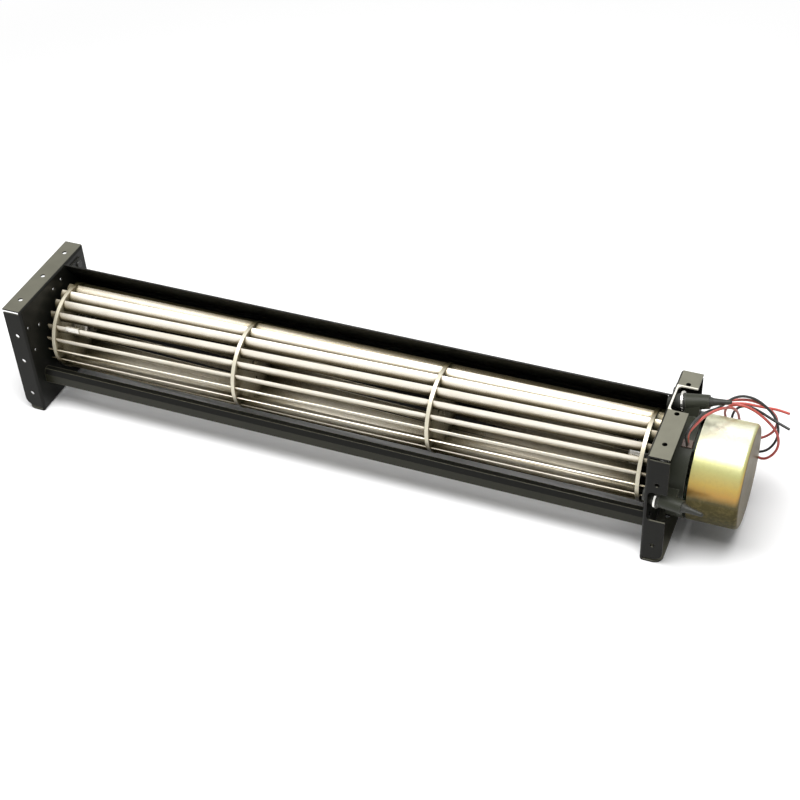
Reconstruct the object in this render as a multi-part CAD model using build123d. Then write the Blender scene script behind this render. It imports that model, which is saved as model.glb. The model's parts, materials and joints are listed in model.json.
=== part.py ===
from build123d import *
import copy
import os
from math import cos, sin, radians, degrees, atan2, hypot, tan, pi

# Cross flow fan: a long drum impeller turns about X between two tray-shaped end plates.
# A scroll wall stands behind it, a stabiliser strip lies low in front of it, and an
# external-rotor motor hangs on three rubber plugs outside the right-hand end plate.
# Air enters at the front and top and leaves at the bottom.  Y runs to the rear wall.

# ---- impeller ----
DRUM_R = 30.0            # outer radius of the slotted discs
DISC_T = 2.5             # thickness of the discs
DISC_PITCH = 137.5       # from disc to disc
SECTIONS = 3             # lengths of blade between discs
BLADES = 20
BLADE_T = 0.6            # blade sheet
BLADE_LAND = 0.6         # disc rim left outside the blade slots
BLADE_IN_R = 23.9        # radius of the blades' inner edges
BLADE_LAG = 10.5         # degrees that the inner edge lies behind the outer edge
BLADE_TURN = 56.0        # degrees that the blade's arc turns through
BLADE_OVERHANG = 5.5     # blade end beyond the centre of an end disc
DRUM_TWIST = 20.0        # degrees that the blades skew over the drum's length
SLOT_CLEAR = 0.12        # between a blade and its slot
HUB_R = 8.0
HUB_LENGTH = 11.0
DISC_EYE_R = 4.5         # centre hole of a middle disc
DIMPLE_R = 1.6           # small holes round the eye
DIMPLE_PCR = 12.0
CLIP_LENGTH = 10.0       # balance clip
CLIP_T = 0.5
CLIP_CLEAR = 0.16
CLIP_START = 9.0         # from the left end disc
CLIP_BLADE = 9

# ---- end plates ----
END_GAP = 2.6            # blade end to end plate
SHEET = 1.0
FLANGE = 14.0            # depth of the tray
BEND_R = 1.8             # outside radius of a bend
PLATE_FRONT = 46.0       # from the drum's axis
PLATE_BACK = 36.0
PLATE_TOP = 42.5
PLATE_FOOT = 45.0
CORNER_GAP = 2.0         # slit between neighbouring flanges
CORNER_R = 6.0           # rounded lower corners
FLANGE_HOLE_R = 1.6
FLANGE_HOLE_X = 7.4      # from the plate's inner face
FLANGE_HOLE_PITCH = 28.5
FRONT_HOLES = [20.3, -1.4, -30.4]   # heights of the holes in the front and rear flanges
NOTCH_WIDTH = 23.4       # motor plug notches in the right-hand flanges
NOTCH_R = 3.0
NOTCH_TOP_Y = 9.3        # middle of the notch in the top flange
NOTCH_FRONT_Z = 2.0      # and in the front flange
NOTCH_WALL = 2.2         # from the plate's inner face
MOTOR_EYE_R = 13.0       # hole in the right-hand plate for the hub end
LIGHT_HOLES = [(-39.5, 5.7), (-41.4, 25.9), (-29.6, 20.1), (-6.3, 33.8), (4.0, 35.0)]
LIGHT_HOLE_R = 1.1

# ---- rear wall and stabiliser strip ----
WALL_T = 1.0
WALL_LIP_Y = 10.7        # top edge of the wall
WALL_GAP = 3.2           # least gap from the drum
WALL_NEAR = 42.0         # angle of that gap, from the rear, degrees
WALL_BACK_GAP = 1.0      # from the scroll to the rear face of the plates
WALL_END_Y = 24.0        # lower edge of the scroll
STRIP_Y = 36.8           # front face of the strip, from the axis
STRIP_TOP = 14.4         # below the axis
STRIP_BOTTOM = 25.0
STRIP_CREASE = 18.4
STRIP_CHAMFER = 1.8
STRIP_LEDGE = 3.6
STRIP_RETURN = 7.0
TAB = 8.0                # fixing tabs on the ends of wall and strip
RIVET_R = 1.6
RIVET_HEAD_R = 3.0
RIVET_HEAD = 0.9

# ---- left-hand bearing ----
SHAFT_R = 3.0
RUN_CLEAR = 0.03         # shaft to bearing, radial
SPRING_RING_R = 10.0     # hole for the rubber ring
RING_LIP = 2.5
RING_LIP_T = 3.0
BUSH_R = 6.5
BUSH_LENGTH = 9.0
STUB_END = 3.5           # stub shaft beyond the bush

# ---- motor ----
MOTOR_GAP = 9.4          # plate's inner face to the motor flange
MOTOR_FLANGE_R = 33.5
MOTOR_FLANGE_T = 11.4
BOARD_CLEAR = 2.5        # board's edge to the wall of the recess
BOARD_T = 1.6
RECESS_DEPTH = 6.5
RECESS_WALL = 3.0
CUP_GAP = 2.0            # motor flange to rotor cup
CUP_R = 33.2
CUP_T = 1.3
CUP_LENGTH = 31.4
CUP_CORNER = 2.5
MAGNET_T = 4.0
MAGNET_LENGTH = 22.0
AIR_GAP = 0.5
CORE_LENGTH = 15.0
CORE_TEETH = 6
TOOTH_WIDTH = 6.0
SHOE_T = 2.5
SHOE_ANGLE = 50.0
COIL_CLEAR = 0.8         # winding to the tooth's shoe
TUBE_R = 8.0
BEARING_R = 6.5
BEARING_WIDTH = 5.0
MOTOR_HUB_R = 7.0
# rubber plugs
PLUG_PCR = 38.3          # circle of the plugs' holes in the end plate
PLUG_ANGLES = [71.5, 174.0, 302.7]
PLUG_SPLAY = 12.0        # degrees that the plugs and their ears lean outward
PLUG_HOLE_R = 3.0        # hole in the plate
PLUG_HEAD_R = 4.8
PLUG_HEAD_T = 1.9
HEAD_CLEAR = 0.6         # wall sheet to a plug's head
PLUG_WAIST_R = 3.8
PLUG_BODY_R = 5.2
PLUG_COLLAR_T = 1.4
PLUG_STEM_R = 2.4
PLUG_BARB_R = 3.4
PLUG_TAIL = 12.5
PLUG_TIP_R = 1.3
WASHER_R = 6.6
WASHER_T = 1.2
BOSS_R = 5.2
BOSS_END_R = 4.4
BOSS_LENGTH = 14.0
EAR_WIDTH = 9.0
# leads
LEAD_D = 1.7
LEAD_ANGLE = 117.0       # where the leads leave the motor flange
LEAD_SPACING = 1.9       # between the leads in the grommet
LEAD_OUT = 5.0           # straight out of the grommet
GROMMET_W = 4.8
GROMMET_T = 3.0

# ---- places that follow ----
DRUM = DISC_PITCH * SECTIONS
BLADE_OUT_R = DRUM_R - BLADE_LAND - SLOT_CLEAR
BOARD_R = MOTOR_FLANGE_R - RECESS_WALL - BOARD_CLEAR
X_LEFT = -BLADE_OVERHANG - END_GAP              # inner face of the left-hand plate
X_RIGHT = DRUM + BLADE_OVERHANG + END_GAP       # inner face of the right-hand plate
X_MOTOR = X_RIGHT + MOTOR_GAP                   # inner face of the motor flange
X_CUP = X_MOTOR + MOTOR_FLANGE_T + CUP_GAP      # open rim of the rotor cup
X_END = X_CUP + CUP_LENGTH                      # closed end of the rotor cup
PLATE_MID_Y = (PLATE_BACK - PLATE_FRONT) / 2


def at_x(x, y=0.0, z=0.0, turn=0.0):
    """Location whose local X, Y are the part's Y, Z, at a distance along the drum."""
    return Plane.YZ.offset(x).location * Pos(y, z, 0) * Rot(0, 0, turn)


def rod(r, x0, x1, y=0.0, z=0.0):
    return extrude(at_x(x0, y, z) * Circle(r), x1 - x0)


def ring(r, bore, x0, x1, y=0.0, z=0.0):
    return extrude(at_x(x0, y, z) * (Circle(r) - Circle(bore)), x1 - x0)


def block(x0, x1, y0, y1, z0, z1):
    return Pos((x0 + x1) / 2, (y0 + y1) / 2, (z0 + z1) / 2) * Box(abs(x1 - x0), abs(y1 - y0), abs(z1 - z0))


def turned(points):
    """Solid of revolution about X from (x, radius) points."""
    return revolve(Plane.XZ * make_face(Polyline(*points, close=True)), Axis.X)


def polar(r, degree):
    return r * cos(radians(degree)), r * sin(radians(degree))


def keep(name, shape):
    nodes[name] = shape


nodes = {}
up = (Align.CENTER, Align.CENTER, Align.MIN)

# ================= impeller =================
tip = Vector(BLADE_OUT_R, 0)
inner = Vector(*polar(BLADE_IN_R, BLADE_LAG))
chord = tip - inner
camber_r = chord.length / 2 / sin(radians(BLADE_TURN / 2))
side = Vector(chord.Y, -chord.X).normalized()
camber_c = (tip + inner) * 0.5 + side * (camber_r * cos(radians(BLADE_TURN / 2)))
start = degrees(atan2(tip.Y - camber_c.Y, tip.X - camber_c.X))


def blade_face(spare=0.0):
    """Cross-section of one blade with its outer edge on the local X axis."""
    more = degrees(spare / camber_r)
    a0, sweep_by = start - more, BLADE_TURN + 2 * more
    half = BLADE_T / 2 + spare
    outer = CenterArc(camber_c, camber_r + half, a0, sweep_by)
    hollow = CenterArc(camber_c, camber_r - half, a0, sweep_by)
    return make_face([outer, Line(outer @ 1, hollow @ 1), hollow, Line(hollow @ 0, outer @ 0)])


def blade_angle(number, x):
    return 360.0 / BLADES * number - DRUM_TWIST * x / DRUM


stations = [-BLADE_OVERHANG] + [DISC_PITCH * n for n in range(SECTIONS + 1)] + [DRUM + BLADE_OVERHANG]
for number in range(BLADES):
    cuts = [at_x(x, turn=blade_angle(number, x)) * blade_face() for x in stations]
    keep(f"blade_{number + 1:02d}", loft(cuts, ruled=True))


def slotted_disc(x):
    """Disc with a closed slot for each blade."""
    sketch = Circle(DRUM_R)
    for number in range(BLADES):
        sketch -= Rot(0, 0, blade_angle(number, x)) * blade_face(SLOT_CLEAR)
    return extrude(at_x(x - DISC_T / 2) * sketch, DISC_T)


for number in range(1, SECTIONS):
    disc = slotted_disc(DISC_PITCH * number) - rod(DISC_EYE_R, -9, DRUM + 9)
    for turn in (30, 150, 270):
        disc -= rod(DIMPLE_R, -9, DRUM + 9, *polar(DIMPLE_PCR, turn))
    keep(f"middle_disc_{number}", disc)

hub_left = DISC_T / 2 + HUB_LENGTH
hub_right = DRUM - DISC_T / 2 - HUB_LENGTH
keep("left_end_disc", slotted_disc(0) - rod(SHAFT_R, -9, 9))
keep("right_end_disc", slotted_disc(DRUM) - rod(SHAFT_R, DRUM - 9, DRUM + 9))
hub = ring(HUB_R, SHAFT_R, DISC_T / 2, hub_left)
keep("left_hub", chamfer(hub.edges().filter_by(GeomType.CIRCLE).group_by(Axis.X)[-1].sort_by(SortBy.RADIUS)[-1], 1))
hub = ring(HUB_R, SHAFT_R, hub_right, DRUM - DISC_T / 2)
screw_x = hub_right + HUB_LENGTH / 2
screw_hole = Pos(screw_x, 0, 0) * extrude(Circle(2.0), HUB_R + 1)
hub = chamfer(hub.edges().filter_by(GeomType.CIRCLE).group_by(Axis.X)[0].sort_by(SortBy.RADIUS)[-1], 1)
keep("right_hub", hub - screw_hole)
keep("hub_screw", Pos(screw_x, 0, SHAFT_R) * extrude(Circle(2.0) - RegularPolygon(1.0, 6), HUB_R - SHAFT_R - 0.5))

# the balance clip straddles the outer edge of one blade
clip_x = CLIP_START
clip_turn = blade_angle(CLIP_BLADE - 1, clip_x + CLIP_LENGTH / 2)
clip_arc = degrees((BLADE_T + 2.0) / camber_r)
spare_arc = degrees(CLIP_CLEAR / camber_r)


def clip_leg(r):
    arc = CenterArc(camber_c, r + CLIP_T / 2, start - spare_arc, clip_arc + spare_arc)
    back = CenterArc(camber_c, r - CLIP_T / 2, start - spare_arc, clip_arc + spare_arc)
    return make_face([arc, Line(arc @ 1, back @ 1), back, Line(back @ 0, arc @ 0)])


leg_r = BLADE_T / 2 + CLIP_T / 2 + CLIP_CLEAR
outer_leg, inner_leg = clip_leg(camber_r + leg_r), clip_leg(camber_r - leg_r)
cap = Pos(*tuple(tip)[:2]) * Rot(0, 0, start) * Pos(0, -CLIP_T / 2 - CLIP_CLEAR) * \
    Rectangle(2 * leg_r + CLIP_T, CLIP_T)
clip = extrude(at_x(clip_x, turn=clip_turn) * (outer_leg + inner_leg + cap), CLIP_LENGTH)
keep("balance_clip", clip)

# ================= end plates =================


def end_plate(x, s):
    """Tray with its flat face at x and its four flanges turned outward along s."""
    outer = block(x, x + s * FLANGE, -PLATE_FRONT, PLATE_BACK, -PLATE_FOOT, PLATE_TOP)
    faces = outer.faces().sort_by(Axis.X)
    outer = fillet(faces[0 if s > 0 else -1].edges(), BEND_R)
    core = block(x + s * SHEET, x + s * (FLANGE + 5), -PLATE_FRONT + SHEET, PLATE_BACK - SHEET,
                 -PLATE_FOOT + SHEET, PLATE_TOP - SHEET)
    faces = core.faces().sort_by(Axis.X)
    core = fillet(faces[0 if s > 0 else -1].edges(), BEND_R - SHEET)
    tray = outer - core
    for y in (-PLATE_FRONT, PLATE_BACK - SHEET):
        for z in (PLATE_TOP - SHEET - CORNER_GAP, -PLATE_FOOT + SHEET):
            tray -= block(x + s * BEND_R, x + s * (FLANGE + 1), y - 1, y + SHEET + 1, z, z + CORNER_GAP)
    # rounded lower corners of the standing flanges and of the foot flange
    tip_x = x + s * FLANGE
    foot_z = -PLATE_FOOT + SHEET + CORNER_GAP
    heel = block(tip_x - s * CORNER_R, tip_x + s, -PLATE_FRONT - 1, PLATE_BACK + 1, foot_z, foot_z + CORNER_R)
    heel -= Pos(tip_x - s * CORNER_R, 0, foot_z + CORNER_R) * Rot(90, 0, 0) * Cylinder(CORNER_R, 300)
    tray -= heel
    for y, t in ((-PLATE_FRONT, 1), (PLATE_BACK, -1)):
        corner = block(tip_x - s * CORNER_R, tip_x + s, y - t, y + t * CORNER_R, -PLATE_FOOT - 1, -PLATE_FOOT + SHEET)
        corner -= Pos(tip_x - s * CORNER_R, y + t * CORNER_R, 0) * Cylinder(CORNER_R, 300)
        tray -= corner
    # three fixing holes in each flange
    hole_x = x + s * FLANGE_HOLE_X
    for step in (-1, 0, 1):
        y = PLATE_MID_Y + step * FLANGE_HOLE_PITCH
        tray -= Pos(hole_x, y, PLATE_TOP) * Cylinder(FLANGE_HOLE_R, 6)
        tray -= Pos(hole_x, y, -PLATE_FOOT) * Cylinder(FLANGE_HOLE_R, 6)
    for z in FRONT_HOLES:
        tray -= Pos(hole_x, -PLATE_FRONT, z) * Rot(90, 0, 0) * Cylinder(FLANGE_HOLE_R, 6)
        tray -= Pos(hole_x, PLATE_BACK, z) * Rot(90, 0, 0) * Cylinder(FLANGE_HOLE_R, 6)
    return tray


left_plate = end_plate(X_LEFT, -1) - rod(SPRING_RING_R, X_LEFT - 5, X_LEFT + 5)
for y, z in LIGHT_HOLES:
    left_plate -= rod(LIGHT_HOLE_R, X_LEFT - 5, X_LEFT + 5, y, z)

plugs = [polar(PLUG_PCR, a) for a in PLUG_ANGLES]
lean = radians(PLUG_SPLAY)
plug_axes = [Plane((X_RIGHT, y, z), x_dir=(0, -sin(radians(a)), cos(radians(a))),
                   z_dir=(cos(lean), sin(lean) * cos(radians(a)), sin(lean) * sin(radians(a)))).location
             for a, (y, z) in zip(PLUG_ANGLES, plugs)]
ear_h = MOTOR_GAP / cos(lean)          # along a plug, from the plate's inner face to its ear
right_plate = end_plate(X_RIGHT, 1) - rod(MOTOR_EYE_R, X_RIGHT - 5, X_RIGHT + 5)
for y, z in plugs:
    right_plate -= rod(PLUG_HOLE_R, X_RIGHT - 5, X_RIGHT + 5, y, z)
# the upper and the front plug stand in notches of the top and front flanges
half = NOTCH_WIDTH / 2
notch = block(X_RIGHT + NOTCH_WALL, X_RIGHT + FLANGE + 9, NOTCH_TOP_Y - half, NOTCH_TOP_Y + half,
              PLATE_TOP - SHEET - CORNER_GAP, PLATE_TOP + 5)
notch = fillet(notch.edges().filter_by(Axis.Z).group_by(Axis.X)[0], NOTCH_R)
right_plate -= notch
notch = block(X_RIGHT + NOTCH_WALL, X_RIGHT + FLANGE + 9, -PLATE_FRONT - 5, -PLATE_FRONT + SHEET + CORNER_GAP,
              NOTCH_FRONT_Z - half, NOTCH_FRONT_Z + half)
notch = fillet(notch.edges().filter_by(Axis.Y).group_by(Axis.X)[0], NOTCH_R)
right_plate -= notch

# ================= rear wall and stabiliser strip =================
near_r = DRUM_R + WALL_GAP + WALL_T       # the drawn line is the rear face of the sheet
near = Vector(*polar(near_r, WALL_NEAR))
along = Vector(sin(radians(WALL_NEAR)), -cos(radians(WALL_NEAR)))
back = Vector(PLATE_BACK - SHEET - WALL_BACK_GAP, -8)
end = Vector(WALL_END_Y, -PLATE_FOOT)
lip_arc = TangentArc(near, (WALL_LIP_Y + WALL_T, PLATE_TOP), tangent=-along)
scroll = TangentArc(near, back, tangent=along)
outfall = TangentArc(back, end, tangent=scroll % 1)


def sheet_face(edges, t, which):
    return make_face(offset(Wire(edges), t, kind=Kind.INTERSECTION, side=which, closed=True).edges())


wall_face = sheet_face([lip_arc, scroll, outfall], WALL_T, Side.LEFT)
wall_face += make_face(Polyline(end - Vector(WALL_T, 0), (PLATE_BACK - SHEET, end.Y), (PLATE_BACK - SHEET, end.Y + WALL_T),
                                end + Vector(0, WALL_T), close=True))
wall = extrude(at_x(X_LEFT) * wall_face, X_RIGHT - X_LEFT)
strip_line = Polyline((-STRIP_Y + STRIP_CHAMFER + STRIP_LEDGE, -STRIP_TOP), (-STRIP_Y + STRIP_CHAMFER, -STRIP_TOP),
                      (-STRIP_Y, -STRIP_CREASE), (-STRIP_Y, -STRIP_BOTTOM), (-STRIP_Y + STRIP_RETURN, -STRIP_BOTTOM))
strip_face = sheet_face(strip_line.edges(), SHEET, Side.LEFT)
strip = extrude(at_x(X_LEFT) * strip_face, X_RIGHT - X_LEFT)

# fixing tabs bent from the ends of the wall and the strip, and their rivets
high, low = lip_arc @ 0.75, lip_arc @ 0.25
top_tab = make_face(Polyline((0, low.Y), (0, high.Y), (high.X + TAB + 6, high.Y), (high.X + TAB + 6, low.Y), close=True))
top_tab -= make_face([lip_arc, Line(lip_arc @ 1, (-5, PLATE_TOP)), Line((-5, PLATE_TOP), (-5, near.Y)),
                      Line((-5, near.Y), near)])
high = outfall @ 0.7
foot_tab = make_face(Polyline(high, (PLATE_BACK - SHEET, high.Y), (PLATE_BACK - SHEET, end.Y), end, close=True))
strip_tab = Pos(-STRIP_Y + SHEET / 2 + STRIP_RETURN / 2, -(STRIP_CREASE + STRIP_BOTTOM) / 2) * \
    Rectangle(STRIP_RETURN - SHEET, STRIP_BOTTOM - STRIP_CREASE)
top_rivet = (lip_arc @ 0.5) + Vector(TAB, 0.5)
foot_rivet = Vector(PLATE_BACK - BEND_R - RIVET_HEAD_R - 0.4, end.Y + BEND_R + RIVET_HEAD_R + 0.4)
strip_rivet = Vector(-STRIP_Y + SHEET + RIVET_HEAD_R + 0.4, SHEET + RIVET_HEAD_R + 0.4 - STRIP_BOTTOM)
rivets = []
for x, s in ((X_LEFT, -1), (X_RIGHT, 1)):
    wall += extrude(at_x(x) * (top_tab + foot_tab), -s * SHEET)
    strip += extrude(at_x(x) * strip_tab, -s * SHEET)
    for at in (top_rivet, foot_rivet, strip_rivet):
        hole = rod(RIVET_R, x - 3, x + 3, at.X, at.Y)
        wall, strip = wall - hole, strip - hole
        if s < 0:
            left_plate -= hole
        else:
            right_plate -= hole
        rivet = rod(RIVET_R, x - SHEET, x + SHEET, at.X, at.Y)
        for head_x, out in ((x + s * SHEET, s), (x - s * SHEET, -s)):
            rivet += at_x(head_x, at.X, at.Y) * Rot(0, 0 if out > 0 else 180, 0) * \
                Cone(RIVET_HEAD_R, RIVET_HEAD_R - RIVET_HEAD / 2, RIVET_HEAD, align=up)
        rivets.append(rivet)
for y, z in plugs:
    wall -= rod(PLUG_HEAD_R + HEAD_CLEAR, X_RIGHT - PLUG_HEAD_T - HEAD_CLEAR, X_RIGHT, y, z)
keep("left_end_plate", left_plate)
keep("right_end_plate", right_plate)
keep("rear_wall", wall)
keep("stabiliser_strip", strip)
keep("rivets", Compound(children=rivets))

# ================= left-hand bearing =================
x_in, x_out = X_LEFT + RING_LIP_T, X_LEFT - SHEET - RING_LIP_T
lip_r = SPRING_RING_R + RING_LIP
keep("bearing_ring", turned([(x_in, BUSH_R), (x_in, lip_r - 1), (x_in - 1, lip_r), (X_LEFT, lip_r),
                             (X_LEFT, SPRING_RING_R), (X_LEFT - SHEET, SPRING_RING_R), (X_LEFT - SHEET, lip_r),
                             (x_out + 1, lip_r), (x_out, lip_r - 1), (x_out, BUSH_R)]))
bush_x = X_LEFT - SHEET / 2 + BUSH_LENGTH / 2
keep("bearing_bush", ring(BUSH_R, SHAFT_R + RUN_CLEAR, bush_x - BUSH_LENGTH, bush_x))
keep("thrust_washer", ring(BUSH_R - 0.5, SHAFT_R, bush_x + 0.2, -DISC_T / 2))
stub = rod(SHAFT_R, bush_x - BUSH_LENGTH - STUB_END, hub_left)
keep("stub_shaft", chamfer(stub.edges().group_by(Axis.X)[0], 0.5))

# ================= motor =================
core_r = CUP_R - CUP_T - MAGNET_T - AIR_GAP
magnet_x = X_CUP + (CUP_LENGTH - CUP_T - MAGNET_LENGTH) / 2 - 1.5
core_x = magnet_x + (MAGNET_LENGTH - CORE_LENGTH) / 2
tube_end = core_x + CORE_LENGTH + 3.5
hub_x = tube_end + 1.4
recess_x = X_MOTOR + MOTOR_FLANGE_T - RECESS_DEPTH
flange_end = X_MOTOR + MOTOR_FLANGE_T

flange = rod(MOTOR_FLANGE_R, X_MOTOR, flange_end)
flange = fillet(flange.edges().filter_by(GeomType.CIRCLE).group_by(Axis.X)[0], 1.5)
ear_r = PLUG_PCR + (MOTOR_GAP + MOTOR_FLANGE_T / 2) * tan(radians(PLUG_SPLAY))
for angle, axis in zip(PLUG_ANGLES, plug_axes):
    ear = extrude(at_x(X_MOTOR, turn=angle) * Pos((ear_r + BOARD_R) / 2, 0) *
                  Rectangle(ear_r - BOARD_R, EAR_WIDTH), MOTOR_FLANGE_T - 2.5)
    boss = axis * Pos(0, 0, ear_h) * Cone(BOSS_R, BOSS_END_R, BOSS_LENGTH, align=up)
    flange += ear + boss
flange -= rod(MOTOR_FLANGE_R - RECESS_WALL, recess_x, flange_end + 1)
flange += rod(TUBE_R, recess_x, tube_end)
flange -= rod(BEARING_R - 1.3, X_MOTOR - 1, tube_end + 1)
flange -= rod(BEARING_R, X_MOTOR - 1, X_MOTOR + BEARING_WIDTH) + rod(BEARING_R, tube_end - BEARING_WIDTH, tube_end + 1)
for axis in plug_axes:
    flange -= axis * Pos(0, 0, ear_h - 4) * Cylinder(PLUG_BODY_R, 4, align=up)
    flange -= axis * Pos(0, 0, ear_h - 1) * Cylinder(PLUG_STEM_R, BOSS_LENGTH + 2, align=up)
for turn in (0, 120, 240):
    flange += rod(2.2, recess_x, recess_x + 1.5, *polar(BOARD_R - 4, turn))
slot = Pos(MOTOR_FLANGE_R - RECESS_WALL / 2, 0) * Rectangle(RECESS_WALL + 4, GROMMET_W)
flange -= extrude(at_x(recess_x, turn=LEAD_ANGLE) * slot, RECESS_DEPTH + 1)
keep("motor_flange", flange)

grommet_r = MOTOR_FLANGE_R - RECESS_WALL - 1.2
plate = Pos(grommet_r + (GROMMET_T + 2.4) / 2, 0) * Rectangle(GROMMET_T + 2.4, GROMMET_W)
keep("lead_grommet", extrude(at_x(recess_x, turn=LEAD_ANGLE) * plate, RECESS_DEPTH - 0.4))

board = ring(BOARD_R, TUBE_R + 0.1, recess_x + 1.5, recess_x + 1.5 + BOARD_T)
keep("circuit_board", board)
keep("motor_bearing_inner", ring(BEARING_R, SHAFT_R + RUN_CLEAR, X_MOTOR, X_MOTOR + BEARING_WIDTH))
keep("motor_bearing_outer", ring(BEARING_R, SHAFT_R + RUN_CLEAR, tube_end - BEARING_WIDTH, tube_end))

core = Circle(TUBE_R + 3.5)
coils = []
for tooth in range(CORE_TEETH):
    turn = 360 / CORE_TEETH * tooth
    core += Rot(0, 0, turn) * Pos(core_r / 2, 0) * Rectangle(core_r - SHOE_T / 2, TOOTH_WIDTH)
    reach = 2 * core_r
    wedge = make_face(Polyline((0, 0), polar(reach, turn - SHOE_ANGLE / 2), polar(reach, turn + SHOE_ANGLE / 2), close=True))
    core += (Circle(core_r) - Circle(core_r - SHOE_T)) & wedge
    coil_in, coil_out = 2 * TOOTH_WIDTH + 1.0, core_r - SHOE_T - COIL_CLEAR
    coil = Pos((coil_in + coil_out) / 2, 0) * Rectangle(coil_out - coil_in, 2 * TOOTH_WIDTH - 1)
    hole = Pos((coil_in + coil_out) / 2, 0) * Rectangle(coil_out - coil_in, TOOTH_WIDTH)
    winding = extrude(at_x(core_x - 2.5, turn=turn) * coil, CORE_LENGTH + 5)
    coils.append(winding - extrude(at_x(core_x, turn=turn) * hole, CORE_LENGTH))
core -= Circle(TUBE_R)
keep("stator_core", extrude(at_x(core_x) * core, CORE_LENGTH))
keep("stator_windings", Compound(children=coils))

in_r, cup_in = CUP_R - CUP_T, X_END - CUP_T
cup = rod(CUP_R, X_CUP, X_END)
cup = fillet(cup.edges().filter_by(GeomType.CIRCLE).group_by(Axis.X)[-1], CUP_CORNER)
hollow = rod(in_r, X_CUP - 1, cup_in)
hollow = fillet(hollow.edges().filter_by(GeomType.CIRCLE).group_by(Axis.X)[-1], CUP_CORNER - CUP_T)
cup -= hollow
cup += ring(MOTOR_HUB_R, SHAFT_R, hub_x, cup_in)
keep("rotor_cup", cup)
keep("magnet_ring", ring(in_r, in_r - MAGNET_T, magnet_x, magnet_x + MAGNET_LENGTH))
keep("motor_shaft", rod(SHAFT_R, hub_right, cup_in))

# rubber plugs: head, neck in the plate, body, washer, collar, stem in the ear, barb and tail
plug_names = ("upper", "front", "rear")
outside = block(X_RIGHT + SHEET, X_RIGHT + 90, -90, 90, -90, 90)
w0 = ear_h - PLUG_COLLAR_T - WASHER_T
b0 = ear_h + BOSS_LENGTH
tail = [(0, 0), (PLUG_WAIST_R, 0), (PLUG_BODY_R, w0 - 1.5), (PLUG_BODY_R, w0), (PLUG_STEM_R, w0),
        (PLUG_STEM_R, w0 + WASHER_T), (PLUG_BODY_R, w0 + WASHER_T), (PLUG_BODY_R, ear_h), (PLUG_STEM_R, ear_h),
        (PLUG_STEM_R, b0), (PLUG_BARB_R, b0), (PLUG_STEM_R, b0 + 2.6), (PLUG_TIP_R, b0 + PLUG_TAIL),
        (PLUG_TIP_R / 2, b0 + PLUG_TAIL + 0.8), (0, b0 + PLUG_TAIL + 0.8)]
spindle = revolve(Plane.XZ * make_face(Polyline(*tail, close=True)), Axis.Z)
washers = []
for name, axis, (y, z) in zip(plug_names, plug_axes, plugs):
    head = rod(PLUG_HOLE_R, X_RIGHT, X_RIGHT + SHEET, y, z)
    head += at_x(X_RIGHT, y, z) * Rot(0, 180, 0) * \
        Cone(PLUG_HEAD_R, PLUG_HEAD_R - PLUG_HEAD_T / 3, PLUG_HEAD_T, align=up)
    keep(f"rubber_plug_{name}", head + (axis * spindle & outside))
    washers.append(axis * Pos(0, 0, w0) * extrude(Circle(WASHER_R) - Circle(PLUG_STEM_R), WASHER_T))
keep("plug_washers", Compound(children=washers))

# ================= leads =================
lead_r = LEAD_D / 2
exit_r = grommet_r + GROMMET_T + 2.4
exit_x = recess_x + (RECESS_DEPTH - 0.4) / 2


def lead(name, side, points):
    """Round lead from the grommet's face along straight runs joined by tangent arcs."""
    straight = [(Rot(LEAD_ANGLE, 0, 0) * Pos(exit_x, exit_r + out, side)).position for out in (0, LEAD_OUT)]
    points = [tuple(p) for p in straight] + points
    runs = [Vector(*b) - Vector(*a) for a, b in zip(points, points[1:])]
    radii = [0.45 * min(a.length, b.length) / tan(radians(a.get_angle(b) / 2)) for a, b in zip(runs, runs[1:])]
    line = FilletPolyline(*points, radius=radii)
    tube = sweep(Plane(line @ 0, z_dir=line % 0) * Circle(lead_r), path=line)
    turns = [round(a.get_angle(b)) for a, b in zip(runs, runs[1:])]
    print(name, "length", round(line.length, 1), "radii", [round(r, 1) for r in radii], "turns", turns,
          "volume ratio", round(tube.volume / (pi * lead_r ** 2 * line.length), 4))
    keep(name, tube)


lead("red_lead", -LEAD_SPACING / 2, [
    (438.3, -16.9, 41.2), (441.1, -13.8, 44.5), (443.5, -7, 45.1), (447, 0.5, 44.3), (451, 8.6, 41.8),
    (454.4, 16.2, 37.5), (457.5, 23.9, 31.1), (459, 31.3, 21.4), (459.2, 38.1, 9.6), (460.6, 42.3, -2),
    (465.3, 40.5, -9.8), (471, 36.3, -14.1), (476.9, 32.8, -13.5), (482.1, 31.1, -8),
    (485.4, 31, -0.8), (485.6, 31.8, 5.9), (483.1, 32.5, 12.4), (478.3, 32.3, 18.1), (472, 32, 23.6),
    (465.6, 30.8, 28.1), (459.3, 29.5, 30.2), (453.6, 29.8, 27.7), (450.1, 33.2, 20.4),
    (449.9, 39.2, 9.3), (453.4, 44.4, -2.7), (459.2, 46.2, -9.6), (465.7, 46.4, -10.8),
    (471.7, 45.1, -7.8), (476.7, 42.4, -1.9), (480.8, 39.8, 5.5), (482.4, 39.5, 12.5),
    (481, 39.5, 18.3), (476.3, 38.9, 23.6), (470, 37.5, 27.9), (463.3, 34.8, 30.9),
    (456.9, 32.3, 31.1), (451.5, 33.5, 28), (447.4, 38.4, 21.6), (447.9, 43.8, 15.6),
    (453.4, 48, 14.2), (460.4, 47.4, 16.5), (467.8, 45.1, 18.4), (475.1, 42.2, 21.2),
    (482.3, 39.3, 24), (488.9, 35.6, 25.9)])
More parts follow.
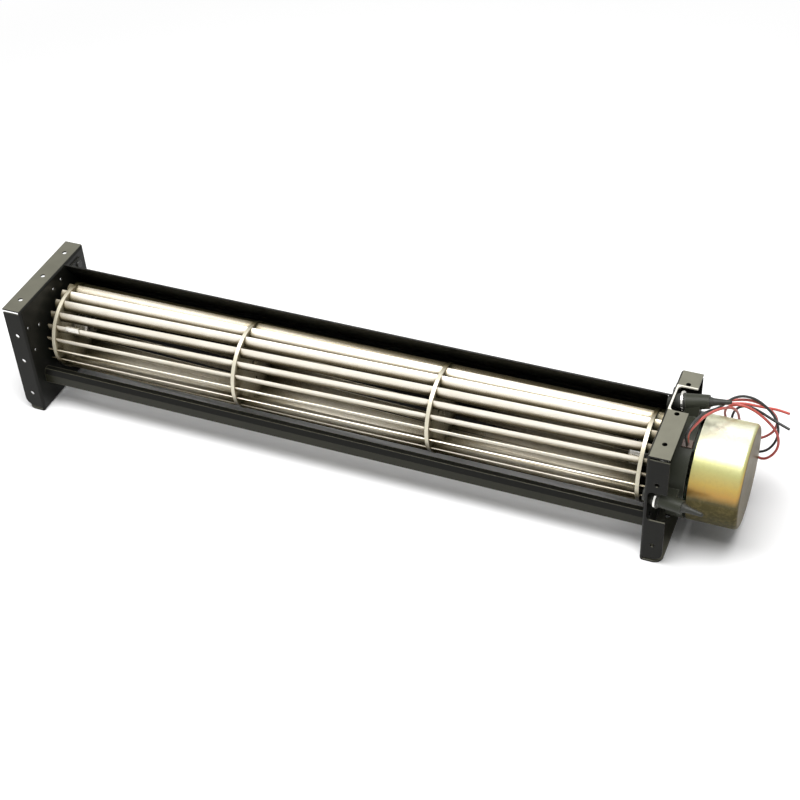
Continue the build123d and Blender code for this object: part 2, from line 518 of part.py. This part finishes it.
lead("black_lead", LEAD_SPACING / 2, [
    (437.4, -20.4, 40.9), (439.2, -18, 46.5), (441.2, -12, 47.6), (442.8, -2.4, 44.9),
    (445.7, 7.7, 39.5), (449.2, 15.7, 36.2), (451.7, 21.7, 35.3), (453.8, 26.5, 35.2),
    (457, 30.9, 34.8), (461.7, 33.8, 34.2), (468, 35.7, 31.8), (474.6, 35.7, 27.5),
    (480.2, 35.8, 21.7), (483.5, 36.3, 13.5), (484, 37.3, 4.4), (481.9, 38.4, -4.6),
    (477.6, 39.7, -12.1), (471.3, 42, -16.9), (464.1, 44.1, -17.6), (457.2, 46.9, -14.6),
    (453.2, 49.1, -7.9), (452.6, 48.2, 1.3), (454.1, 46.6, 9.9), (458.4, 43.7, 17),
    (464.6, 40.4, 20.8), (471.6, 36.1, 22.1), (478.7, 31.3, 22.8), (485.6, 27.4, 23.1),
    (491.5, 24.7, 23.1)])

# the part stands on its end plates: the origin is under the middle of its box, the leads left out
rigid = [copy.copy(shape) for name, shape in nodes.items() if not name.endswith("_lead")]
box = Compound(children=rigid).bounding_box()
shift = Pos(-box.center().X, -box.center().Y, -box.min.Z)
print("origin shift", shift.position, "size", box.size)

os.makedirs("parts", exist_ok=True)
for name, shape in nodes.items():
    export_step(shift * shape, f"parts/{name}.step")
print(len(nodes), "nodes")
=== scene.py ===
import bpy, json, math
from mathutils import Matrix, Vector


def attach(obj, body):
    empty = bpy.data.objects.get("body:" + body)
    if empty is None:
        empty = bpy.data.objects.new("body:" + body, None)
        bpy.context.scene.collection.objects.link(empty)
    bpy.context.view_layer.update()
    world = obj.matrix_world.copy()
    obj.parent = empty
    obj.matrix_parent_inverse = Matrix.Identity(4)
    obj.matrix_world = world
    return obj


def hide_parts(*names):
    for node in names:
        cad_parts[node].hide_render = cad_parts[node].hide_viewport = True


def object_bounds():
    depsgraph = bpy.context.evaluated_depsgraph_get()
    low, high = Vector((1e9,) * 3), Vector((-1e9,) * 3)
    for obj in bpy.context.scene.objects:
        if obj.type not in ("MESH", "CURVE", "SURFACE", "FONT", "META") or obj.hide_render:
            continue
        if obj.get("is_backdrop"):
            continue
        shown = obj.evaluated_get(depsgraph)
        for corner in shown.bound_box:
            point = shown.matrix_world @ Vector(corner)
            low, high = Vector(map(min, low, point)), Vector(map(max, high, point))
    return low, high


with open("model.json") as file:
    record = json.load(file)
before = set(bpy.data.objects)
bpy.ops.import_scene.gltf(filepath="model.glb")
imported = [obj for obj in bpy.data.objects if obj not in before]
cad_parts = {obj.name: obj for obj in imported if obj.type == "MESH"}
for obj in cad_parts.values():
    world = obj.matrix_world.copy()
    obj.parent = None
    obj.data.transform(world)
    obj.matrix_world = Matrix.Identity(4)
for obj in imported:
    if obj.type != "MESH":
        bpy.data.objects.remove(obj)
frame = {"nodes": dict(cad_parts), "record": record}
lo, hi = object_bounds()
nodes = frame["nodes"]
scene = bpy.context.scene

BEVEL_SAMPLES = 6
SHADE_SAMPLES = 8


# ---------------------------------------------------------------- shader helpers
def new_material(name):
    m = bpy.data.materials.new(name)
    m.use_nodes = True
    nt = m.node_tree
    nt.nodes.clear()
    out = nt.nodes.new("ShaderNodeOutputMaterial")
    bsdf = nt.nodes.new("ShaderNodeBsdfPrincipled")
    nt.links.new(bsdf.outputs["BSDF"], out.inputs["Surface"])
    return m, nt, bsdf


def feed(nt, value, socket):
    """Set a number or an RGB colour, or link an output."""
    if isinstance(value, (int, float)):
        socket.default_value = value
    elif isinstance(value, tuple):
        socket.default_value = (*value, 1.0)
    else:
        nt.links.new(value, socket)


def add(nt, kind, **values):
    """New node; each value sets the input of that name, or else the property."""
    n = nt.nodes.new(kind)
    for k, v in values.items():
        if k in n.inputs:
            n.inputs[k].default_value = v
        else:
            setattr(n, k, v)
    return n


def maths(nt, operation, *values):
    n = add(nt, "ShaderNodeMath", operation=operation)
    for value, socket in zip(values, n.inputs):
        feed(nt, value, socket)
    return n.outputs[0]


def coords(nt, scale=(1, 1, 1)):
    tc = nt.nodes.new("ShaderNodeTexCoord")
    mp = add(nt, "ShaderNodeMapping", Scale=scale)
    nt.links.new(tc.outputs["Object"], mp.inputs["Vector"])
    return mp.outputs["Vector"]


def axes(nt, output):
    """X, Y and Z of an output of the geometry node, such as Position."""
    geo = nt.nodes.new("ShaderNodeNewGeometry")
    parts = nt.nodes.new("ShaderNodeSeparateXYZ")
    nt.links.new(geo.outputs[output], parts.inputs[0])
    return parts.outputs


def noise(nt, vec, scale, detail, rough):
    n = add(nt, "ShaderNodeTexNoise", Scale=scale, Detail=detail, Roughness=rough)
    nt.links.new(vec, n.inputs["Vector"])
    return n.outputs["Fac"]


def ramp(nt, fac, stops):
    r = nt.nodes.new("ShaderNodeValToRGB")
    e = r.color_ramp.elements
    while len(e) < len(stops):
        e.new(0.5)
    for el, (position, colour) in zip(e, stops):
        el.position = position
        el.color = (*colour, 1.0)
    nt.links.new(fac, r.inputs["Fac"])
    return r.outputs["Color"]


def remap(nt, fac, from_low, from_high, to_low, to_high):
    """Linear map from one range to another, held at its ends."""
    r = nt.nodes.new("ShaderNodeMapRange")
    for value, socket in zip((fac, from_low, from_high, to_low, to_high), r.inputs):
        feed(nt, value, socket)
    return r.outputs[0]


def mix(nt, fac, a, b, blend="MIX"):
    """Colour mix; inputs 6 and 7 and output 2 are the node's colour sockets."""
    m = add(nt, "ShaderNodeMix", data_type="RGBA", blend_type=blend)
    for value, socket in ((fac, m.inputs[0]), (a, m.inputs[6]), (b, m.inputs[7])):
        feed(nt, value, socket)
    return m.outputs[2]


def bevel_normal(nt, radius):
    v = add(nt, "ShaderNodeBevel", samples=BEVEL_SAMPLES, Radius=radius)
    return v.outputs["Normal"]


def bump(nt, bsdf, height, strength, distance, bevel=0.0):
    """Fine relief in metres; bevel rounds the edges in the shading."""
    b = add(nt, "ShaderNodeBump", Strength=strength, Distance=distance)
    nt.links.new(height, b.inputs["Height"])
    if bevel:
        nt.links.new(bevel_normal(nt, bevel), b.inputs["Normal"])
    nt.links.new(b.outputs["Normal"], bsdf.inputs["Normal"])


def edges(nt, radius):
    """0 on flat faces, 1 along edges: the bevel normal against the true one."""
    flat, sharp = 0.995, 0.90    # cosines of the angle between the two
    geo = nt.nodes.new("ShaderNodeNewGeometry")
    dot = add(nt, "ShaderNodeVectorMath", operation="DOT_PRODUCT")
    nt.links.new(bevel_normal(nt, radius), dot.inputs[0])
    nt.links.new(geo.outputs["Normal"], dot.inputs[1])
    return remap(nt, dot.outputs["Value"], flat, sharp, 0.0, 1.0)


def shade(nt, distance):
    """0 deep in a recess, 1 in the open."""
    ao = add(nt, "ShaderNodeAmbientOcclusion", samples=SHADE_SAMPLES, Distance=distance)
    return remap(nt, ao.outputs["AO"], 0.0, 1.0, 0.0, 1.0)


# ---------------------------------------------------------------- kinds of material
def metal(name, base, dark, rough, grain, grain_scale=90.0, spots=0.25, bevel=0.0,
          metallic=1.0, stain=None, recess=None):
    """stain is (colour, share); recess is (distance, ramp stops) and darkens narrow gaps with
    painted shade.
    """
    m, nt, b = new_material(name)
    fine = noise(nt, coords(nt, grain), grain_scale, 3.0, 0.6)
    broad = noise(nt, coords(nt), 38.0, 5.0, 0.6)
    col = mix(nt, remap(nt, broad, 0.35, 0.75, 0.0, spots), base, dark)
    col = mix(nt, remap(nt, fine, 0.3, 0.7, 0.0, 0.18), col, dark)
    if stain:
        colour, share = stain
        far = noise(nt, coords(nt), 14.0, 6.0, 0.7)
        col = mix(nt, remap(nt, far, 0.52, 0.72, 0.0, share), col, colour)
    if recess:
        distance, stops = recess
        # painted shade: the colour is multiplied darker where the face lies in a narrow gap
        col = mix(nt, 1.0, col, ramp(nt, shade(nt, distance), stops), "MULTIPLY")
    nt.links.new(col, b.inputs["Base Color"])
    b.inputs["Metallic"].default_value = metallic
    nt.links.new(remap(nt, fine, 0.2, 0.8, *rough), b.inputs["Roughness"])
    bump(nt, b, fine, 0.12, 0.00005, bevel)
    return m


def painted_top_light(nt, col, broad, colour, left, right):
    """Painted light: a paler colour on faces that look up, beyond left and right on the X axis, in
    metres.
    """
    fade = 0.0004
    up = remap(nt, axes(nt, "True Normal")["Z"], 0.90, 0.99, 0.0, 1.0)
    x = axes(nt, "Position")["X"]
    ends = maths(nt, "ADD", remap(nt, x, left, left + fade, 0.7, 0.0),
                 remap(nt, x, right - fade, right, 0.0, 1.0))
    top_light = maths(nt, "MULTIPLY", up, ends)
    top_light = maths(nt, "MULTIPLY", top_light, remap(nt, broad, 0.25, 0.7, 0.75, 1.0))
    return mix(nt, top_light, col, colour)


def lit_cut_rim(nt, col, colour, low, high):
    """Uncoated metal with a painted highlight, inside the box between two corners, in metres."""
    place = axes(nt, "Position")
    inside = 1.0
    for axis, least, most in zip("XYZ", low, high):
        inside = maths(nt, "MULTIPLY", inside, maths(nt, "GREATER_THAN", place[axis], least))
        inside = maths(nt, "MULTIPLY", inside, maths(nt, "LESS_THAN", place[axis], most))
    return mix(nt, inside, col, colour)


def painted(name, base, worn, rough=(0.30, 0.44), edge=0.0004, spec=0.5, line=0.0, dim=None,
            top=None, bare=None):
    """Paint, worn along its edges; line is the least edge lightening, so a high line also paints a
    highlight along every edge, and the colour given for faces that look up is a painted shade.
    """
    m, nt, b = new_material(name)
    peel = noise(nt, coords(nt), 900.0, 2.0, 0.5)
    broad = noise(nt, coords(nt), 45.0, 5.0, 0.6)
    dust = noise(nt, coords(nt), 260.0, 6.0, 0.7)
    col = mix(nt, remap(nt, broad, 0.3, 0.75, 0.0, 0.35), base, worn)
    if dim:
        # painted shade: faces that look up, such as the strip's top under the drum, take the
        # darker colour given
        col = mix(nt, remap(nt, axes(nt, "True Normal")["Z"], 0.15, 0.35, 0.0, 1.0), col, dim)
    # paint worn through along the edges, three times the worn tone; with a high line this
    # lightening is also a painted highlight along every edge
    rubbed_and_lit = tuple(min(1.0, c * 3.0 + 0.05) for c in worn)
    wear_and_highlight = maths(nt, "MULTIPLY", edges(nt, edge), remap(nt, dust, 0.42, 0.60, line, 1.0))
    col = mix(nt, wear_and_highlight, col, rubbed_and_lit)
    # painted light: a paler colour on faces that look up
    if top:
        col = painted_top_light(nt, col, broad, *top)
    # the notch's cut edge: uncoated metal, brightened as a painted highlight
    if bare:
        col = lit_cut_rim(nt, col, *bare)
    nt.links.new(col, b.inputs["Base Color"])
    nt.links.new(remap(nt, broad, 0.25, 0.8, *rough), b.inputs["Roughness"])
    b.inputs["Specular IOR Level"].default_value = spec
    bump(nt, b, peel, 0.10, 0.00006, edge)
    return m


def plastic(name, base, dark, rough, spec=0.5, sub=0.0):
    m, nt, b = new_material(name)
    fine = noise(nt, coords(nt), 300.0, 4.0, 0.6)
    broad = noise(nt, coords(nt), 60.0, 4.0, 0.6)
    col = mix(nt, remap(nt, broad, 0.3, 0.75, 0.0, 1.0), base, dark)
    nt.links.new(col, b.inputs["Base Color"])
    nt.links.new(remap(nt, fine, 0.25, 0.8, *rough), b.inputs["Roughness"])
    b.inputs["Specular IOR Level"].default_value = spec
    if sub:
        b.inputs["Subsurface Weight"].default_value = sub
        b.inputs["Subsurface Scale"].default_value = 0.001
    bump(nt, b, fine, 0.18, 0.00008, 0.0002)
    return m


def yellow_zinc(name):
    """Passivated zinc with painted light by the face's direction: a pale painted highlight on top,
    greenish, then golden round the side, and dark painted shade underneath, which is dull too.
    """
    m, nt, b = new_material(name)
    vec = coords(nt)
    drift = noise(nt, vec, 30.0, 5.0, 0.55)
    fine = noise(nt, vec, 420.0, 4.0, 0.6)
    normal = axes(nt, "Normal")
    wander = 0.20                # how far the drift moves the bands
    lean = maths(nt, "MULTIPLY_ADD", drift, wander, normal["Z"])
    # painted light: dark painted shade on faces that look down, rising to a pale painted highlight
    # on faces that look up; the greenish and golden tints between are the zinc's own
    col = ramp(nt, remap(nt, lean, -0.85, 1.15, 0.0, 1.0),
               [(0.20, (0.040, 0.037, 0.018)), (0.52, (0.085, 0.070, 0.028)),
                (0.60, (0.42, 0.24, 0.060)), (0.68, (0.50, 0.35, 0.09)),
                (0.80, (0.44, 0.43, 0.17)), (0.91, (0.56, 0.57, 0.31)),
                (0.99, (0.86, 0.85, 0.70))])
    face = remap(nt, normal["X"], 0.80, 0.97, 0.0, 1.0)      # the can's closed end
    end = mix(nt, remap(nt, drift, 0.3, 0.7, 0.0, 1.0), (0.085, 0.068, 0.036), (0.15, 0.12, 0.065))
    col = mix(nt, face, col, end)
    col = mix(nt, remap(nt, fine, 0.45, 0.75, 0.0, 0.25), col, (0.30, 0.24, 0.10))
    nt.links.new(col, b.inputs["Base Color"])
    # the closed end and the underside lose their reflection too, so the painted shade underneath
    # stays dark
    dull = maths(nt, "MAXIMUM", face, remap(nt, lean, 0.12, 0.34, 1.0, 0.0))
    nt.links.new(remap(nt, dull, 0.0, 1.0, 0.55, 0.0), b.inputs["Metallic"])
    nt.links.new(remap(nt, dull, 0.0, 1.0, 0.40, 0.02), b.inputs["Specular IOR Level"])
    nt.links.new(remap(nt, fine, 0.2, 0.8, 0.26, 0.38), b.inputs["Roughness"])
    bump(nt, b, fine, 0.12, 0.00004, 0.0004)
    return m


# ---------------------------------------------------------------- materials of the slots
# Painted shade: the tint of a face by how open it lies, from a narrow gap to the open.
PAINTED_GAP_SHADE = [(0.18, (0.030, 0.031, 0.015)), (0.42, (0.135, 0.115, 0.066)),
             (0.57, (0.54, 0.47, 0.34)), (0.73, (1.0, 0.99, 0.96))]
# Each with its colour first: painted light on the plates' top flanges beyond the wall's ends, and
# the sheared edge of the right plate's notch, uncoated metal with a painted highlight.
PLATE_TOP_LIGHT = ((0.18, 0.175, 0.135), -0.2345, 0.1943)
NOTCH_RIM = ((0.74, 0.71, 0.62), (0.1953, 0.0036, 0.0864), (0.2085, 0.0275, 0.0876))

mats = {}


def material(kind, name, *colours, **values):
    mats[name] = kind(name, *colours, **values)


# the blades and the discs darken in their narrow gaps with painted shade (recess)
material(metal, "blade_aluminium", (0.92, 0.89, 0.82), (0.66, 0.60, 0.48), rough=(0.32, 0.44),
         grain=(1, 40, 40), grain_scale=60.0, spots=0.35, metallic=0.5,
         stain=((0.52, 0.45, 0.33), 0.22), recess=(0.045, PAINTED_GAP_SHADE))
material(metal, "disc_sheet", (0.66, 0.63, 0.52), (0.46, 0.42, 0.32), rough=(0.30, 0.46),
         grain=(8, 8, 8), grain_scale=60.0, spots=0.3, metallic=0.45, recess=(0.040, PAINTED_GAP_SHADE))
material(metal, "bright_steel", (0.68, 0.67, 0.64), (0.40, 0.38, 0.35), rough=(0.18, 0.34),
         grain=(60, 4, 4), grain_scale=60.0, bevel=0.0002)
material(painted, "black_sheet", (0.006, 0.006, 0.005), (0.013, 0.013, 0.009), spec=0.12,
         top=PLATE_TOP_LIGHT, bare=NOTCH_RIM)
# dark_strip: line 0.8 paints highlights along its creases, and its faces that look up take a
# painted shade
material(painted, "dark_strip", (0.013, 0.013, 0.007), (0.026, 0.025, 0.013), spec=0.16,
         edge=0.0006, line=0.8, dim=(0.004, 0.004, 0.003))
material(painted, "dark_rivet", (0.014, 0.014, 0.012), (0.035, 0.034, 0.028), spec=0.2,
         edge=0.0002)
material(metal, "clip_steel", (0.80, 0.78, 0.72), (0.5, 0.47, 0.4), rough=(0.2, 0.35),
         grain=(6, 6, 6))
material(plastic, "black_rubber", (0.014, 0.015, 0.012), (0.030, 0.030, 0.024),
         rough=(0.42, 0.62), spec=0.35)
material(metal, "sintered_bronze", (0.60, 0.42, 0.22), (0.36, 0.22, 0.10), rough=(0.4, 0.6),
         grain=(8, 8, 8), grain_scale=150.0)
material(plastic, "white_nylon", (0.78, 0.77, 0.72), (0.66, 0.64, 0.57), rough=(0.35, 0.5),
         sub=0.1)
material(painted, "motor_casting", (0.022, 0.024, 0.016), (0.042, 0.044, 0.031),
         rough=(0.35, 0.55), spec=0.22)
material(plastic, "brown_insulator", (0.09, 0.045, 0.025), (0.05, 0.028, 0.016),
         rough=(0.3, 0.5))
material(plastic, "board_green", (0.26, 0.58, 0.40), (0.18, 0.44, 0.30), rough=(0.25, 0.4))
material(metal, "core_steel", (0.40, 0.40, 0.39), (0.22, 0.21, 0.20), rough=(0.35, 0.5),
         grain=(160, 2, 2), grain_scale=30.0)
material(metal, "copper_wire", (0.72, 0.32, 0.14), (0.42, 0.16, 0.06), rough=(0.2, 0.35),
         grain=(6, 90, 90), grain_scale=60.0)
material(plastic, "ferrite", (0.035, 0.035, 0.035), (0.06, 0.06, 0.06), rough=(0.5, 0.7))
material(metal, "washer_steel", (0.84, 0.83, 0.79), (0.6, 0.58, 0.52), rough=(0.15, 0.28),
         grain=(8, 8, 8))
material(plastic, "red_insulation", (0.52, 0.095, 0.075), (0.40, 0.07, 0.055),
         rough=(0.28, 0.42))
material(plastic, "black_insulation", (0.012, 0.012, 0.012), (0.024, 0.024, 0.022),
         rough=(0.28, 0.42))
material(yellow_zinc, "yellow_zinc")

for sp in frame["record"]["subparts"]:
    obj = nodes[sp["node"]]
    obj.data.materials.clear()
    obj.data.materials.append(mats[sp["material_slot"]])

# ---------------------------------------------------------------- leads
# Routes are in millimetres, in the part's own frame; SHIFT takes them to the shared one.
SHIFT = Vector((-226.35, 5.6385, 45.0))
WIRE_R = 0.00085
EXIT_X = 437.95                    # where the leads leave the flange's grommet
EXIT_R = 34.7                      # their distance from the drum's axis there
EXIT_TURN = math.radians(117.0)    # the grommet's place round that axis
EXIT_OUT = 5.0                     # straight run out of the grommet
EXIT_SIDE = 0.95                   # each lead's distance from the grommet's middle
RED_ROUTE = [
    (438.3, -16.9, 41.2), (441.1, -13.8, 44.5), (443.5, -7, 45.1), (447, 0.5, 44.3),
    (451, 8.6, 41.8), (454.4, 16.2, 37.5), (457.5, 23.9, 31.1), (459, 31.3, 21.4),
    (459.2, 38.1, 9.6), (460.6, 42.3, -2), (465.3, 40.5, -9.8), (471, 36.3, -14.1),
    (476.9, 32.8, -13.5), (482.1, 31.1, -8), (485.4, 31, -0.8), (485.6, 31.8, 5.9),
    (483.1, 32.5, 12.4), (478.3, 32.3, 18.1), (472, 32, 23.6), (465.6, 30.8, 28.1),
    (459.3, 29.5, 30.2), (453.6, 29.8, 27.7), (450.1, 33.2, 20.4), (449.9, 39.2, 9.3),
    (453.4, 44.4, -2.7), (459.2, 46.2, -9.6), (465.7, 46.4, -10.8), (471.7, 45.1, -7.8),
    (476.7, 42.4, -1.9), (480.8, 39.8, 5.5), (482.4, 39.5, 12.5), (481, 39.5, 18.3),
    (476.3, 38.9, 23.6), (470, 37.5, 27.9), (463.3, 34.8, 30.9), (456.9, 32.3, 31.1),
    (451.5, 33.5, 28), (447.4, 38.4, 21.6), (447.9, 43.8, 15.6), (453.4, 48, 14.2),
    (460.4, 47.4, 16.5), (467.8, 45.1, 18.4), (475.1, 42.2, 21.2), (482.3, 39.3, 24),
    (488.9, 35.6, 25.9)]
BLACK_ROUTE = [
    (437.4, -20.4, 40.9), (439.2, -18, 46.5), (441.2, -12, 47.6), (442.8, -2.4, 44.9),
    (445.7, 7.7, 39.5), (449.2, 15.7, 36.2), (451.7, 21.7, 35.3), (453.8, 26.5, 35.2),
    (457, 30.9, 34.8), (461.7, 33.8, 34.2), (468, 35.7, 31.8), (474.6, 35.7, 27.5),
    (480.2, 35.8, 21.7), (483.5, 36.3, 13.5), (484, 37.3, 4.4), (481.9, 38.4, -4.6),
    (477.6, 39.7, -12.1), (471.3, 42, -16.9), (464.1, 44.1, -17.6), (457.2, 46.9, -14.6),
    (453.2, 49.1, -7.9), (452.6, 48.2, 1.3), (454.1, 46.6, 9.9), (458.4, 43.7, 17),
    (464.6, 40.4, 20.8), (471.6, 36.1, 22.1), (478.7, 31.3, 22.8), (485.6, 27.4, 23.1),
    (491.5, 24.7, 23.1)]


def lead(node, name, side, route, mat):
    radial = Vector((0, math.cos(EXIT_TURN), math.sin(EXIT_TURN)))
    across = Vector((0, -math.sin(EXIT_TURN), math.cos(EXIT_TURN)))
    start = Vector((EXIT_X, 0, 0)) + radial * EXIT_R + across * side
    points = [start, start + radial * EXIT_OUT] + [Vector(p) for p in route]
    points = [(p + SHIFT) / 1000 for p in points]
    cu = bpy.data.curves.new(name, "CURVE")
    cu.dimensions = "3D"
    line = cu.splines.new("NURBS")
    line.points.add(len(points) - 1)
    for q, p in zip(line.points, points):
        q.co = (*p, 1.0)
    line.order_u = 3
    line.use_endpoint_u = True
    line.resolution_u = 10
    cu.bevel_depth = WIRE_R
    cu.bevel_resolution = 5
    cu.use_fill_caps = True
    ob = bpy.data.objects.new(name, cu)
    scene.collection.objects.link(ob)
    cu.materials.append(mats[mat])
    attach(ob, "housing")
    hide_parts(node)


lead("red_lead", "red_wire", -EXIT_SIDE, RED_ROUTE, "red_insulation")
lead("black_lead", "black_wire", EXIT_SIDE, BLACK_ROUTE, "black_insulation")

# ---------------------------------------------------------------- stage
WHITE_FROM = (0.38, 0.80)    # metres from the origin, where the lit floor turns plain white
FLOOR_HALF = 9
FLOOR_GAP = 0.0002           # below the part's lowest point
WORLD_LIGHT = 0.26           # the world's strength as a lamp
WORLD_SEEN = 1.0             # its strength as a backdrop and in reflections
LAMP_AIM = Vector((0, 0, 0.05))


def seen_rays(nt):
    """1 for camera, glossy and transmission rays, 0 for the others."""
    rays = nt.nodes.new("ShaderNodeLightPath").outputs
    seen = maths(nt, "MAXIMUM", rays["Is Camera Ray"], rays["Is Glossy Ray"])
    return maths(nt, "MAXIMUM", seen, rays["Is Transmission Ray"])


floor_mat, nt, b = new_material("floor")
feed(nt, (0.9, 0.9, 0.9), b.inputs["Base Color"])
b.inputs["Roughness"].default_value = 0.9
white = nt.nodes.new("ShaderNodeEmission")
blend = nt.nodes.new("ShaderNodeMixShader")
place = nt.nodes.new("ShaderNodeNewGeometry")
away = add(nt, "ShaderNodeVectorMath", operation="LENGTH")
nt.links.new(place.outputs["Position"], away.inputs[0])
plain = remap(nt, away.outputs["Value"], *WHITE_FROM, 0.0, 1.0)
nt.links.new(maths(nt, "MULTIPLY", seen_rays(nt), plain), blend.inputs[0])
nt.links.new(b.outputs["BSDF"], blend.inputs[1])
nt.links.new(white.outputs[0], blend.inputs[2])
output = next(n for n in nt.nodes if n.type == "OUTPUT_MATERIAL")
nt.links.new(blend.outputs[0], output.inputs["Surface"])

me = bpy.data.meshes.new("floor")
corners = [(x * FLOOR_HALF, y * FLOOR_HALF, 0) for x, y in ((-1, -1), (1, -1), (1, 1), (-1, 1))]
me.from_pydata(corners, [], [(0, 1, 2, 3)])
floor = bpy.data.objects.new("floor", me)
scene.collection.objects.link(floor)
floor.location.z = lo.z - FLOOR_GAP
me.materials.append(floor_mat)
floor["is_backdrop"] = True

world = bpy.data.worlds.new("studio")
scene.world = world
world.use_nodes = True
wt = world.node_tree
sky = wt.nodes["Background"].inputs
feed(wt, (1.0, 1.0, 1.0), sky["Color"])
wt.links.new(remap(wt, seen_rays(wt), 0.0, 1.0, WORLD_LIGHT, WORLD_SEEN), sky["Strength"])


def area(name, place, width, depth, watts):
    """Rectangular lamp that points at about the middle of the part."""
    lamp = bpy.data.lights.new(name, "AREA")
    lamp.shape = "RECTANGLE"
    lamp.size, lamp.size_y = width, depth
    lamp.energy = watts
    ob = bpy.data.objects.new(name, lamp)
    scene.collection.objects.link(ob)
    ob.location = place
    aim = LAMP_AIM - Vector(place)
    ob.rotation_euler = aim.to_track_quat("-Z", "Y").to_euler()


area("key", (0.0, -0.20, 1.15), 1.2, 0.75, 22)
area("rim", (0.3, 0.9, 0.8), 1.0, 0.4, 1.5)

# ---------------------------------------------------------------- camera
# A point p in millimetres, in the part's own frame, lies at R p + CAMERA_T before the camera,
# with X right, Y down and Z ahead. Blender's camera has Y up and looks along -Z.
SENSOR_MM = 36.0
IMAGE_PX = 800
FOCAL_PX = 1559.263
CAMERA_TURN = Vector((2.260348167714551, 0.4116756957687453, -0.2518679727508358))
CAMERA_T = Vector((-227.1035959047164, -53.14641006358705, 1097.441713729783))

cam = bpy.data.cameras.new("camera")
cam.sensor_width = SENSOR_MM
cam.lens = FOCAL_PX / IMAGE_PX * SENSOR_MM
cam.clip_start, cam.clip_end = 0.05, 20
co = bpy.data.objects.new("camera", cam)
scene.collection.objects.link(co)
scene.camera = co
R = Matrix.Rotation(CAMERA_TURN.length, 3, CAMERA_TURN.normalized())
turn = Matrix((R[0], [-v for v in R[1]], [-v for v in R[2]])).transposed()
eye = (-(R.transposed() @ CAMERA_T) + SHIFT) / 1000
co.matrix_world = Matrix.Translation(eye) @ turn.to_4x4()

scene.view_settings.view_transform = "Standard"
lo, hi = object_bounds()
